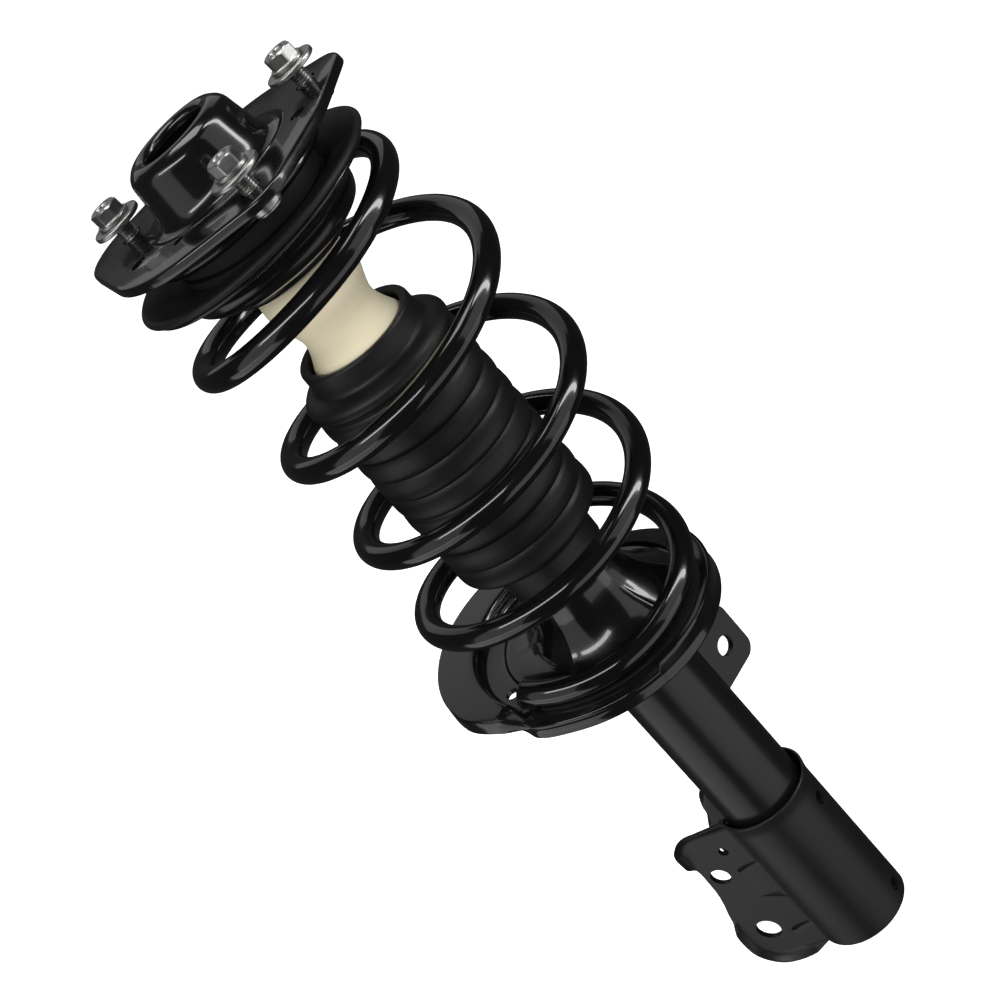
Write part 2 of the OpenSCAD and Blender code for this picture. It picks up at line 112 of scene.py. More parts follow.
class Finish:
    """A finish laid on a piece: one Principled shader, its constants, and the nodes that vary it."""

    def __init__(self, name, **constants):
        self.material = bpy.data.materials.new(name)
        self.material.use_nodes = True
        self.tree = self.material.node_tree
        self.shader = self.tree.nodes["Principled BSDF"]
        for socket, amount in constants.items():
            self.shader.inputs[socket.replace("_", " ")].default_value = amount

    def node(self, kind, settings=None, sockets=None, out=0):
        """Adds a node of that kind: its settings first, then the values or links of its sockets."""
        made = self.tree.nodes.new(kind)
        for name, setting in (settings or {}).items():
            if name == "stops":
                for i, (place, shade) in enumerate(setting):
                    stop = (made.color_ramp.elements[i] if i < 2
                            else made.color_ramp.elements.new(place))
                    stop.position, stop.color = place, (shade, shade, shade, 1)
            else:
                setattr(made, name, setting)
        for name, amount in (sockets or {}).items():
            if isinstance(amount, Value):
                self.tree.links.new(amount.socket, made.inputs[name])
            else:
                made.inputs[name].default_value = amount
        return Value(self, made.outputs[out])

    def place(self):
        """The point on the piece, in metres."""
        return self.node("ShaderNodeTexCoord", out="Object")

    def noise(self, per_metre, detail=2.0, rough=0.5, at=None):
        """Cloudy grain from 0 to 1, with that many blotches to the metre."""
        return self.node("ShaderNodeTexNoise", None, {
            "Vector": at or self.place(), "Scale": per_metre, "Detail": detail,
            "Roughness": rough})

    def ramp(self, value, *stops):
        """Value carried through straight steps, each a place from 0 to 1 and a level."""
        return self.node("ShaderNodeValToRGB", {"stops": stops}, {"Fac": value})

    def blend(self, amount, dark, light):
        """Colour that runs from dark to light as amount runs from 0 to 1."""
        return self.node("ShaderNodeMix", {"data_type": "RGBA"}, {
            0: amount, 6: (*dark, 1), 7: (*light, 1)}, out=2)

    def relief(self, height, depth, under=None):
        """Surface relief that is depth metres deep where height runs from 0 to 1."""
        sockets = {"Height": height, "Distance": depth, "Strength": 1.0}
        if under:
            sockets["Normal"] = under
        return self.node("ShaderNodeBump", None, sockets)

    def feed(self, **links):
        for socket, value in links.items():
            self.tree.links.new(value.socket, self.shader.inputs[socket.replace("_", " ")])
        return self

    def lay(self, *pieces):
        """Puts the finish on every face of each piece."""
        for piece in pieces:
            piece.data.materials.clear()
            piece.data.materials.append(self.material)


sweep = Finish("white_sweep", Roughness=1.0, Specular_IOR_Level=0.0, Emission_Strength=1.0)
sweep.shader.inputs["Emission Color"].default_value = (1, 1, 1, 1)
sweep.feed(Base_Color=sweep.blend(sweep.noise(0.4), (0.90, 0.90, 0.90), (0.94, 0.94, 0.94)))
floor_mesh = bpy.data.meshes.new("floor")
ring_angle = np.linspace(0, 2 * np.pi, 96, endpoint=False)
floor_z = cad_box[0][2] - 0.001
floor_mesh.from_pydata(
    np.stack([30 * np.cos(ring_angle), 30 * np.sin(ring_angle),
              np.full(96, floor_z)], 1).tolist(), [], [list(range(96))])
floor = bpy.data.objects.new("floor", floor_mesh)
bpy.context.scene.collection.objects.link(floor)
floor.visible_glossy = floor.visible_diffuse = floor.visible_shadow = False
sweep.lay(floor)

world = bpy.data.worlds.new("studio")
bpy.context.scene.world = world
world.use_nodes = True
backing = world.node_tree.nodes["Background"]
backing.inputs["Color"].default_value = (0.93, 0.95, 1.0, 1)
backing.inputs["Strength"].default_value = 0.03


def soft_box(name, right, ahead_by, up, size, watts, aim=(0, 0, -0.3)):
    """A rectangular lamp placed in metres right of, beyond and above the strut as the camera sees it
    standing upright, turned to face the aim point."""
    lamp = bpy.data.lights.new(name, "AREA")
    lamp.shape, lamp.size, lamp.size_y, lamp.energy = "RECTANGLE", size[0], size[1], watts
    box = bpy.data.objects.new(name, lamp)
    spot = to_strut(Vector((right, ahead_by, up)))
    box.location = spot
    box.rotation_euler = (Vector(aim) - spot).to_track_quat("-Z", "Y").to_euler()
    box.visible_camera = False
    bpy.context.scene.collection.objects.link(box)
    return box


soft_box("left_wall", -1.6, -0.6, 0.2, (1.4, 2.4), 5)
soft_box("right_wall", 1.6, -0.9, 0.2, (1.6, 2.4), 7)
soft_box("back_wall", 0, 1.9, 1.0, (2.6, 1.3), 3.2)
soft_box("low_left", -1.45, -0.4, -1.1, (1.7, 1.2), 4.6, (0, 0, -0.45))
soft_box("low_right", 0.75, -1.3, -1.15, (2.3, 1.2), 6, (0, 0, -0.45))
soft_box("key_strip", -0.9, -0.9, 0.95, (1.7, 0.22), 8.5)
soft_box("edge_strip", 1.4, -0.3, 0.6, (0.22, 2.0), 11)
soft_box("top_box", 0.1, 0.2, 1.6, (1.2, 0.6), 8)
wash = soft_box("wash", -0.5, -1.8, 0.6, (1.6, 1.6), 42)
wash.visible_glossy = False

# ---- Top mount plate ----------------------------------------------------------
# One deep-drawn steel pressing: a flat lobe for each tower bolt, a rim turned down
# for stiffness and a tall dome that houses the rubber. Electrocoated gloss black.
mm = 0.001
plate_steps = 360
mount_lean = math.radians(5)
bolt_circle = 64
bolt_at = [0, 136, -136]
lobe_radius = [28, 21, 21]
plate_core, sheet = 73, 3.2


def leaning(points):
    """The mount's pieces lean towards the ears: x' = x cos a + z sin a, z' = z cos a - x sin a."""
    x, y, z = points[..., 0], points[..., 1], points[..., 2]
    c, s = math.cos(mount_lean), math.sin(mount_lean)
    return np.stack([x * c + z * s, y, z * c - x * s], -1)


def soften(corners, radius=0.6, steps=5):
    """Closed outline whose corners become short parabolas: p(t) = (1-t)^2 a + 2t(1-t) corner + t^2 b,
    where a and b lie on the two edges a rounding length from the corner."""
    corner = np.array([c[:2] for c in corners], float)
    reach = np.array([c[2] if len(c) > 2 else radius for c in corners], float)
    back, on = np.roll(corner, 1, 0) - corner, np.roll(corner, -1, 0) - corner
    back_len, on_len = np.linalg.norm(back, axis=1), np.linalg.norm(on, axis=1)
    cut = np.minimum(reach, 0.48 * np.minimum(back_len, on_len))
    a, b = corner + back * (cut / back_len)[:, None], corner + on * (cut / on_len)[:, None]
    t = np.linspace(0, 1, steps)[None, :, None]
    return ((1 - t) ** 2 * a[:, None] + 2 * t * (1 - t) * corner[:, None]
            + t ** 2 * b[:, None]).reshape(-1, 2)


def skin(name, points, ring_u=False, ring_v=False, sharp=35):
    """Mesh over a grid of points in millimetres: each cell of the two parameters is one face; ring_u and
    ring_v join the grid's last row or column to its first. Doubles are merged and faces turned outwards."""
    rows, cols = points.shape[:2]
    i = np.arange(rows if ring_u else rows - 1)
    j = np.arange(cols if ring_v else cols - 1)
    i, j = np.meshgrid(i, j, indexing="ij")
    i2, j2 = (i + 1) % rows, (j + 1) % cols
    cells = np.stack([i * cols + j, i * cols + j2, i2 * cols + j2, i2 * cols + j], -1)
    mesh = bpy.data.meshes.new(name)
    mesh.from_pydata((points.reshape(-1, 3) * mm).tolist(), [], cells.reshape(-1, 4).tolist())
    made = bmesh.new()
    made.from_mesh(mesh)
    bmesh.ops.remove_doubles(made, verts=made.verts, dist=2e-6)
    bmesh.ops.dissolve_degenerate(made, edges=made.edges, dist=1e-7)
    bmesh.ops.recalc_face_normals(made, faces=made.faces)
    made.to_mesh(mesh)
    made.free()
    mesh.shade_smooth()
    mesh.set_sharp_from_angle(angle=math.radians(sharp))
    piece = bpy.data.objects.new(name, mesh)
    bpy.context.scene.collection.objects.link(piece)
    return piece


def turned(name, corners, radius=0.6, sides=128, lean=False, sharp=35, steps=5):
    """Turned piece: the softened closed profile of (radius, height) swept once round the axis,
    (r cos a, r sin a, h), and leant with the mount if asked."""
    profile = soften(corners, radius, steps)
    a = np.linspace(0, 2 * np.pi, sides, endpoint=False)
    points = np.stack([profile[:, :1] * np.cos(a), profile[:, :1] * np.sin(a),
                       np.repeat(profile[:, 1:], sides, 1)], -1)
    return skin(name, leaning(points) if lean else points, True, True, sharp)


def drilled(piece, holes, sides=40):
    """Piece with round holes cut through it. Each hole is (centre, direction, radius, half length), a
    closed drum (r cos a, r sin a, h) turned to its direction and taken away from the piece."""
    a = np.linspace(0, 2 * np.pi, sides, endpoint=False)
    drums = bmesh.new()
    for centre, direction, radius, half in holes:
        turn = Vector(direction).to_track_quat("Z", "Y").to_matrix()
        drum = np.array([[0, -half], [radius, -half], [radius, half], [0, half]], float)
        grid = np.stack([drum[:, :1] * np.cos(a), drum[:, :1] * np.sin(a),
                         np.repeat(drum[:, 1:], sides, 1)], -1)
        part = skin("drum", grid @ np.array(turn).T + np.array(centre), False, True)
        drums.from_mesh(part.data)
        bpy.data.objects.remove(part)
    tool_mesh = bpy.data.meshes.new("drums")
    drums.to_mesh(tool_mesh)
    drums.free()
    tool = bpy.data.objects.new("drums", tool_mesh)
    bpy.context.scene.collection.objects.link(tool)
    cut = piece.modifiers.new("holes", "BOOLEAN")
    cut.operation, cut.solver, cut.object = "DIFFERENCE", "EXACT", tool
    graph = bpy.context.evaluated_depsgraph_get()
    finished = bpy.data.meshes.new_from_object(piece.evaluated_get(graph))
    piece.modifiers.clear()
    piece.data = finished
    bpy.data.objects.remove(tool)
    finished.shade_smooth()
    finished.set_sharp_from_angle(angle=math.radians(35))
    return piece


def plate_edge(a):
    """Distance from the axis to the plate's edge in direction a: the farthest of the core circle, each
    lobe's circle, and the tangent lines that run the core into the lobes."""
    edge = np.full_like(a, plate_core, float)
    for at, lobe in zip(bolt_at, lobe_radius):
        off = (a - math.radians(at) + np.pi) % (2 * np.pi) - np.pi
        inside = lobe ** 2 - (bolt_circle * np.sin(off)) ** 2
        hit = bolt_circle * np.cos(off) + np.sqrt(np.maximum(inside, 0))
        edge = np.maximum(edge, np.where((inside > 0) & (np.cos(off) > 0), hit, 0))
        c = (plate_core - lobe) / bolt_circle
        s = math.sqrt(1 - c * c)
        facing = c * np.cos(off) + s * np.abs(np.sin(off))
        line = plate_core / np.maximum(facing, 0.05)
        along = -s * line * np.cos(off) + c * line * np.abs(np.sin(off))
        edge = np.maximum(edge, np.where((along <= 0) & (along >= -s * bolt_circle), line, 0))
    return edge


# rows of the section, from the dome's lip over the crown, down to the rim and back underneath:
# a row is a radius from the axis, or a distance in from the plate's edge, with its height
dome_outside = soften([
    (19.1, 25.5, 0.3), (19.1, 29, 2.6), (21.5, 30.9, 3.0), (26, 30.9, 7), (31.4, 26.5, 9),
    (34.4, 5, 7), (38.6, 0, 5), (44, 0, 0), (44, -3.2, 0), (37, -3.2, 4), (31.6, 4, 6),
    (28.6, 25, 6), (24.6, 27.6, 4), (21.8, 27.6, 1.5), (21.8, 25.5, 0.3)], steps=9)
turn_at = int(np.argmax(dome_outside[:, 0]))
over, under = dome_outside[:turn_at + 1], dome_outside[turn_at + 1:]
rim_rows = soften([
    (14, 0, 0), (0, 0, 3.4), (0, -5.5, 0.8), (2.9, -5.5, 0.8), (2.9, -3.2, 1.6), (14, -3.2, 0)], steps=7)
around = np.linspace(0, 2 * np.pi, plate_steps, endpoint=False)
edge_here = plate_edge(around)
edge_here = (np.roll(edge_here, 2) + 2 * np.roll(edge_here, 1) + 3 * edge_here
             + 2 * np.roll(edge_here, -1) + np.roll(edge_here, -2)) / 9
row_radius = np.concatenate([
    np.repeat(over[:, :1], plate_steps, 1), edge_here[None] - rim_rows[:, :1],
    np.repeat(under[:, :1], plate_steps, 1)])
row_height = np.repeat(np.concatenate([over[:, 1:], rim_rows[:, 1:], under[:, 1:]]), plate_steps, 1)
# straight rows between the dome's foot and the rim
flat_ends_in = 14.6
flat_top = np.linspace(over[-1, 0], edge_here - flat_ends_in, 14)[1:]
flat_low = np.linspace(edge_here - flat_ends_in, under[0, 0], 14)[:-1]
n_over, n_rim = len(over), len(rim_rows)
row_radius = np.concatenate([row_radius[:n_over], flat_top, row_radius[n_over:n_over + n_rim],
                             flat_low, row_radius[n_over + n_rim:]])
row_height = np.concatenate([row_height[:n_over], 0 * flat_top, row_height[n_over:n_over + n_rim],
                             0 * flat_low - sheet, row_height[n_over + n_rim:]])
plate = skin("mount_plate", leaning(np.stack([
    row_radius * np.cos(around), row_radius * np.sin(around), row_height], -1)), True, True)
plate_up = leaning(np.array([0.0, 0.0, 1.0]))
plate_holes = [(leaning(np.array([bolt_circle * math.cos(math.radians(d)),
                                  bolt_circle * math.sin(math.radians(d)), 0.0])), plate_up, 6, 12)
               for d in bolt_at]
plate_holes += [(leaning(np.array([r * math.cos(math.radians(d)), r * math.sin(math.radians(d)), 0.0])),
                 plate_up, size, 12) for d, r, size in ((49, 56, 4.5), (189, 56, 4.5), (85, 48, 3.2))]
drilled(plate, plate_holes)
ecoat = Finish("gloss_black", Coat_Weight=0.7, Coat_Roughness=0.04, Specular_IOR_Level=0.5)
cloud = ecoat.noise(38, 4, 0.6)
peel = ecoat.noise(950, 2)
ecoat.feed(
    Base_Color=ecoat.blend(cloud, (0.0020, 0.0020, 0.0022), (0.0045, 0.0045, 0.0048)),
    Roughness=0.14 + 0.12 * ecoat.ramp(cloud, (0.35, 0), (0.75, 1)),
    Normal=ecoat.relief(peel, 0.000002, ecoat.relief(cloud, 0.000025)))
ecoat.lay(plate)
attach(plate, "mount")
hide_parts("top_mount_plate")

# ---- Tower bolts --------------------------------------------------------------
# Three zinc-plated hex flange bolts, each with a loose thick washer captive under
# its head, screwed part way into round nuts that are welded under the plate.
bolt_names = ["outboard", "front", "rear"]
washer_low, washer_high = 9.0, 11.9
head_low, head_high = 12.0, 21.0
thread_pitch = 1.5

zinc = Finish("zinc", Metallic=1.0)
plated = zinc.noise(220, 5, 0.65)
brushed = zinc.noise(1500, 3)
zinc.feed(
    Base_Color=zinc.blend(plated, (0.42, 0.42, 0.41), (0.66, 0.66, 0.64)),
    Roughness=0.24 + 0.18 * plated,
    Normal=zinc.relief(brushed, 0.000010))


def at_bolt(points, index):
    """Points of the bolt circle's own frame put at bolt number index, then leant with the mount."""
    a = math.radians(bolt_at[index])
    c, s = math.cos(a), math.sin(a)
    x, y = points[..., 0] + bolt_circle, points[..., 1]
    return leaning(np.stack([x * c - y * s, x * s + y * c, points[..., 2]], -1))


def hex_reach(a, flat):
    """Distance to a hexagon's side in direction a, flat / cos of the angle from the nearest flat."""
    return flat / np.cos((a + np.pi / 6) % (np.pi / 3) - np.pi / 6)


a = np.linspace(0, 2 * np.pi, 72, endpoint=False)
rise = np.arange(-13.6, head_low - 0.4, thread_pitch / 10)[:, None]
turn_on = (rise / thread_pitch - a / (2 * np.pi)) % 1
groove = 0.85 * np.abs(2 * turn_on - 1) ** 0.8
runout = np.clip((rise + 13.8) / 1.6, 0, 1)
thread_r = 4.0 + 0.99 * (1 - groove * 0.9) * runout
shank = np.stack([thread_r * np.cos(a), thread_r * np.sin(a), rise + 0 * a], -1)
half_across_flats, half_across_corners = 7.4, 8.35
corner_cap = np.minimum(hex_reach(a, half_across_flats), half_across_corners)
# rows of the head: flange, hexagon with its corners turned off, and the shallow dimple on top
head_rows = [
    (4.9, head_low), (9.2, head_low), (9.6, head_low + 0.35), (9.6, head_low + 1.5), (9.3, head_low + 1.9),
    (corner_cap + 0.1, head_low + 2.1), (corner_cap, head_low + 2.3),
    (corner_cap, head_high - 1.1 + 0.5 * (half_across_corners - corner_cap)),
    (7.1, head_high - 0.1), (6.9, head_high), (4.7, head_high), (4.5, head_high - 0.2),
    (4.2, head_high - 1.0), (0.001, head_high - 1.2)]
head = np.stack([np.stack([r * np.cos(a), r * np.sin(a), z + 0 * a], -1) for r, z in head_rows])
tip = np.stack([0.001 * np.cos(a), 0.001 * np.sin(a), -13.95 + 0 * a], -1)[None]
bolt_points = np.concatenate([tip, shank, head])
washer_ring = soften([
    (6.2, washer_low), (14, washer_low, 0.9), (14, washer_high, 1.1), (6.2, washer_high)], 0.5)
b = np.linspace(0, 2 * np.pi, 96, endpoint=False)
washer_points = np.stack([washer_ring[:, :1] * np.cos(b), washer_ring[:, :1] * np.sin(b),
                          np.repeat(washer_ring[:, 1:], 96, 1)], -1)
for i, name in enumerate(bolt_names):
    bolt = skin("bolt_" + name + "_hex", at_bolt(bolt_points, i), False, True, 22)
    washer = skin("washer_" + name + "_disc", at_bolt(washer_points, i), True, True)
    zinc.lay(bolt, washer)
    for piece, owner in ((bolt, "bolt_" + name), (washer, "washer_" + name)):
        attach(piece, owner)
        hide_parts(owner)

nut_ring = soften([(5.05, -3.2), (8.5, -3.2, 0.4), (8.5, -11.6, 0.9), (7.5, -12.0, 0.5), (7.5, -13.1, 0.5),
                   (5.05, -13.1, 0.8)], 0.5)
nut_points = np.stack([nut_ring[:, :1] * np.cos(b), nut_ring[:, :1] * np.sin(b),
                       np.repeat(nut_ring[:, 1:], 96, 1)], -1)
for i, name in enumerate(bolt_names):
    nut = skin("weld_nut_" + name, at_bolt(nut_points, i), True, True)
    zinc.lay(nut)
    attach(nut, "mount")
    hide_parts("weld_nuts")

# ---- Crimped lower cup --------------------------------------------------------
# Ribbed steel cup rolled onto the underside of the plate; it holds the rubber in.
cup = turned("mount_cup_ribbed", [
    (30, -11.5), (44, -11.5), (47, -8), (48, -3.2), (53.6, -3.2, 1.0), (54.8, -5, 1.2), (53.0, -7, 1.0),
    (54.8, -9, 1.2), (53.0, -11, 1.0), (54.8, -13, 1.2), (54, -16, 1.2), (50.5, -17, 1.0), (50.5, -14.5),
    (48, -13.5), (46, -14.5), (30, -14.5)], 0.6, lean=True)
ecoat.lay(cup)
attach(cup, "mount")
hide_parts("mount_lower_cup")

# ---- Rod nut, sleeve and rubber -----------------------------------------------
# Down in the dome: vulcanised rubber round a steel sleeve, and the plated lock nut
# and washer that hold the rod's end. Plain turned parts that keep their made shape.
rubber = Finish("matte_rubber", Specular_IOR_Level=0.4)
bloom = rubber.noise(90, 4, 0.6)
rubber.feed(
    Base_Color=rubber.blend(bloom, (0.003, 0.003, 0.003), (0.007, 0.007, 0.007)),
    Roughness=0.52 + 0.2 * bloom,
    Normal=rubber.relief(rubber.noise(1800, 2), 0.00002))
rubber.lay(node["mount_rubber"], node["rod_seal"], node["lower_isolator"])
steel = Finish("turned_steel", Metallic=1.0)
lathe = steel.node("ShaderNodeTexWave", {"bands_direction": "Z"}, {
    "Vector": steel.place(), "Scale": 900.0, "Distortion": 1.5, "Detail": 2.0})
steel.feed(
    Base_Color=steel.blend(steel.noise(120, 3), (0.30, 0.31, 0.32), (0.48, 0.48, 0.49)),
    Roughness=0.26 + 0.16 * lathe,
    Normal=steel.relief(lathe, 0.000006))
steel.lay(node["mount_inner_sleeve"], node["pressure_tube"], node["piston_nut"], node["gland_cap"])
zinc.lay(node["rod_washer"], node["rod_nut"])

# ---- Strut bearing ------------------------------------------------------------
# Glass-filled nylon races with polished balls in a cage of the same black nylon.
nylon = Finish("black_nylon", Specular_IOR_Level=0.45)
fibre = nylon.noise(700, 4, 0.7)
nylon.feed(
    Base_Color=nylon.blend(fibre, (0.006, 0.006, 0.006), (0.013, 0.013, 0.013)),
    Roughness=0.42 + 0.16 * fibre,
    Normal=nylon.relief(fibre, 0.00001))
nylon.lay(node["bearing_upper_race"], node["bearing_lower_race"], node["bearing_cage"],
          node["rebound_stop"])
ball_steel = Finish("ball_steel", Metallic=1.0)
ball_steel.feed(
    Base_Color=ball_steel.blend(ball_steel.noise(300), (0.72, 0.73, 0.74), (0.80, 0.81, 0.82)),
    Roughness=0.06 + 0.05 * ball_steel.noise(500))
ball_steel.lay(node["bearing_balls"])

# ---- Upper spring seat and isolator -------------------------------------------
# A wide rubber-covered dish that leans with the mount, over a shiny moulded pilot
# in two steps that centres the coil, with a pad for the coil's last turn.
mould = Finish("seat_rubber", Specular_IOR_Level=0.42)
haze = mould.noise(60, 4, 0.6)
mould.feed(
    Base_Color=mould.blend(haze, (0.003, 0.003, 0.003), (0.007, 0.007, 0.007)),
    Roughness=0.46 + 0.16 * haze,
    Normal=mould.relief(mould.noise(1500, 2), 0.000015))
dish_profile = soften([
    (26, -31), (45, -31), (45.5, -31, 1), (52, -27, 5), (62, -24.5, 6), (71.5, -23.8, 2.5),
    (73.5, -25.3, 2.4), (73.3, -27.6, 1.6), (71, -28.5, 2), (62, -28.6, 4), (53, -31, 4),
    (45.5, -36, 2), (26, -36)], 0.8, 7)


def brim_leaning(name, profile, level_to, leant_over):
    """Turned piece whose middle stays level out to one radius and whose brim leans with the mount:
    z = h - tan(lean) r cos a, shared in smoothly over the next few millimetres."""
    a = np.linspace(0, 2 * np.pi, 160, endpoint=False)
    r, h = profile[:, :1], profile[:, 1:]
    share = np.clip((r - level_to) / leant_over, 0, 1)
    share = share * share * (3 - 2 * share)
    return skin(name, np.stack([r * np.cos(a), r * np.sin(a),
                                h - math.tan(mount_lean) * r * np.cos(a) * share], -1), True, True)


saucer = brim_leaning("upper_seat_dish", dish_profile, 44, 9)
mould.lay(saucer)
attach(saucer, "spring_seat")
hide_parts("upper_spring_seat")

pilot_profile = soften([
    (25.6, -36.1), (46.2, -36.1), (53, -31.6, 2), (62, -29.2, 2), (70, -28.9, 1.4), (70, -31, 1.4),
    (58, -34.4, 4), (52.6, -37.4, 2), (52.5, -42, 3), (50.8, -46, 3), (46, -49, 3), (38.6, -50, 1.2),
    (37.5, -54, 2.2), (35, -56, 1.6), (25.6, -56)], 0.8, 7)
pilot = brim_leaning("isolator_pilot", pilot_profile, 49, 8)
shiny = Finish("shiny_rubber", Coat_Weight=0.35, Coat_Roughness=0.12, Specular_IOR_Level=0.5)
flow = shiny.noise(45, 4, 0.6)
shiny.feed(
    Base_Color=shiny.blend(flow, (0.002, 0.002, 0.002), (0.005, 0.005, 0.005)),
    Roughness=0.18 + 0.10 * flow,
    Normal=shiny.relief(flow, 0.00008))
shiny.lay(pilot)
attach(pilot, "spring_seat")
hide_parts("upper_isolator")

# ---- Bump stop and dust boot --------------------------------------------------
# Cream foamed urethane in two swells, pushed on the rod under the seat, and the
# black rubber bellows snapped round its foot that keeps grit off the rod.
stop = turned("bump_stop_swells", [
    (11.6, -37.2), (25, -37.2), (25, -58, 3), (26.6, -63, 4), (27.4, -71, 5), (26.9, -79.5, 4),
    (23.8, -87, 5), (21.8, -94, 5), (22.8, -100, 5), (25.4, -106, 4), (28.4, -111.5, 2), (28.6, -118, 3),
    (25, -124, 3), (22, -130, 3), (20, -136, 3), (18, -143.8, 2), (11.6, -143.8, 2)], 0.8, 160, steps=8)
urethane = Finish("cream_urethane", Specular_IOR_Level=0.35, Subsurface_Weight=0.15, Subsurface_Scale=0.004)
cells = urethane.noise(420, 5, 0.7)
tint = urethane.noise(28, 3)
urethane.feed(
    Base_Color=urethane.blend(tint, (0.70, 0.63, 0.44), (0.78, 0.71, 0.53)),
    Roughness=0.46 + 0.16 * cells,
    Normal=urethane.relief(cells, 0.00004))
urethane.lay(stop)
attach(stop, "spring_seat")
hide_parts("bump_stop")

fold_top, fold_pitch, fold_count = -131, 13.8, 9
fold_end = fold_top - fold_count * fold_pitch
boot_outer, boot_inner = [], []
for i in range(fold_count):
    z = fold_top - i * fold_pitch
    boot_outer += [(41.6, z, 0.4), (42.9, z - 0.6, 0.5), (43.9, z - 2.6, 1.6), (44.4, z - 8, 4),
                   (44.1, z - fold_pitch + 2.2, 1.6), (43.4, z - fold_pitch + 0.5, 0.4)]
    boot_inner += [(39.9, z, 1), (42.5, z - 4, 3), (42.5, z - fold_pitch + 3, 2)]
boot_collar = [(29.2, -107), (33.4, -106, 0.8), (34.4, -107.4, 0.8), (34.7, -119.4, 3), (41.6, -121.4, 4),
               (44.7, -124.4, 1.6), (44.7, -128, 1.2)]
boot_skirt = [(42, fold_end - 1, 2.5), (35, fold_end - 5.6, 3), (30, fold_end - 7.4, 2),
              (29.4, fold_end - 26, 0.8), (27.6, fold_end - 26, 0.6), (27.6, fold_end - 8, 2),
              (33, fold_end - 3, 2)]
collar_inside = [(42.6, -128, 1), (42.6, -125.4, 1.2), (40.4, -123.2, 1.6), (32.9, -121.2, 1.6),
                 (32.8, -115), (29.2, -115)]
boot = turned("dust_boot_bellows",
              boot_collar + boot_outer + boot_skirt + boot_inner[::-1] + collar_inside, 0.7, 160, steps=6)
boot_rubber = Finish("boot_rubber", Specular_IOR_Level=0.5)
dust = boot_rubber.noise(34, 4, 0.6)
boot_rubber.feed(
    Base_Color=boot_rubber.blend(dust, (0.0025, 0.0025, 0.0025), (0.006, 0.006, 0.006)),
    Roughness=0.38 + 0.16 * dust,
    Normal=boot_rubber.relief(boot_rubber.noise(1300, 2), 0.000012))
boot_rubber.lay(boot)
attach(boot, "spring_seat")
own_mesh(boot)
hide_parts("dust_boot")

# ---- Coil spring --------------------------------------------------------------
# About five turns of 14 mm spring steel with close end turns, cut square, bowed a
# little to one side as it is wound, and powder coated gloss black.
wire_radius = 7
seat_lean = math.radians(6.5)
# rows: turn in degrees, radius and height of the wire's centre
turn_table = np.array([
    (-1700, 61, -316.9), (-1590, 61, -316.9), (-1530, 61.5, -316.5), (-1440, 65, -303.5),
    (-1260, 71.5, -267), (-1080, 73.5, -239.5), (-900, 73.5, -204.5), (-720, 73.5, -171.5),
    (-540, 74.5, -139), (-360, 74.5, -100.5), (-180, 72.5, -71.5), (-90, 70.5, -51.5),
    (0, 67.5, -42), (90, 64, -44.4), (150, 62, -47)], float)
bow_height, bow_size = [-320, -250, -180, -110, -45], [8, -0.5, -10.8, -10.6, -2]
wind_from, wind_to, wind_phase = -1590, 150, math.radians(-142)


def along_coil(turn, column):
    """Radius or height of the wire's centre at that turn in degrees: a cubic between the table's rows
    whose slope at each row is the straight slope from the row before to the row after."""
    last = len(turn_table) - 1
    i = np.clip(np.searchsorted(turn_table[:, 0], turn, side="right") - 1, 0, last - 1)
    p, q = turn_table[np.maximum(i - 1, 0)], turn_table[i]
    r, s = turn_table[i + 1], turn_table[np.minimum(i + 2, last)]
    width = r[..., 0] - q[..., 0]
    t = (turn - q[..., 0]) / width
    leave = (r[..., column] - p[..., column]) / (r[..., 0] - p[..., 0]) * width
    arrive = (s[..., column] - q[..., column]) / (s[..., 0] - q[..., 0]) * width
    return (q[..., column] * (2 * t ** 3 - 3 * t ** 2 + 1) + leave * (t ** 3 - 2 * t ** 2 + t)
            + r[..., column] * (3 * t ** 2 - 2 * t ** 3) + arrive * (t ** 3 - t ** 2))


turn = np.linspace(wind_from, wind_to, 900)
turn = np.concatenate([[wind_from, wind_from, wind_from + 0.12, wind_from + 0.5], turn[1:-1],
                       [wind_to - 0.5, wind_to - 0.12, wind_to, wind_to]])
wire_here = np.full(len(turn), float(wire_radius))
wire_here[:4], wire_here[-4:] = (0.001, 6.2, 6.8, 7), (7, 6.8, 6.2, 0.001)


def coil_centre(turn):
    """Centre of the wire: round the rod at the table's radius and height, leaning with the lower seat
    near the bottom, z + lean x, and moved sideways by the coil's bow at that height."""
    angle = np.radians(turn) + wind_phase
    high, wide = along_coil(turn, 2), along_coil(turn, 1)
    lean = math.tan(seat_lean) * np.clip((-80 - high) / 220, 0, 1)
    x = wide * np.cos(angle)
    bow = np.interp(high, bow_height, bow_size)
    return np.stack([x + bow, wide * np.sin(angle), high + lean * x], -1)


middle = coil_centre(turn)
run = coil_centre(np.minimum(turn + 0.5, wind_to)) - coil_centre(np.maximum(turn - 0.5, wind_from))
run /= np.linalg.norm(run, axis=1)[:, None]
angle = np.radians(turn) + wind_phase
out = np.stack([np.cos(angle), np.sin(angle), 0 * angle], -1)
out -= run * np.sum(out * run, 1)[:, None]
out /= np.linalg.norm(out, axis=1)[:, None]
up = np.cross(run, out)
b = np.linspace(0, 2 * np.pi, 32, endpoint=False)
coil = skin("coil_wire", middle[:, None] + wire_here[:, None, None] * (
    np.cos(b)[None, :, None] * out[:, None] + np.sin(b)[None, :, None] * up[:, None]), False, True)
spring_paint = Finish("gloss_spring_black", Coat_Weight=0.6, Coat_Roughness=0.03, Specular_IOR_Level=0.5)
sag = spring_paint.noise(26, 3, 0.5)
fleck = spring_paint.noise(700, 2)
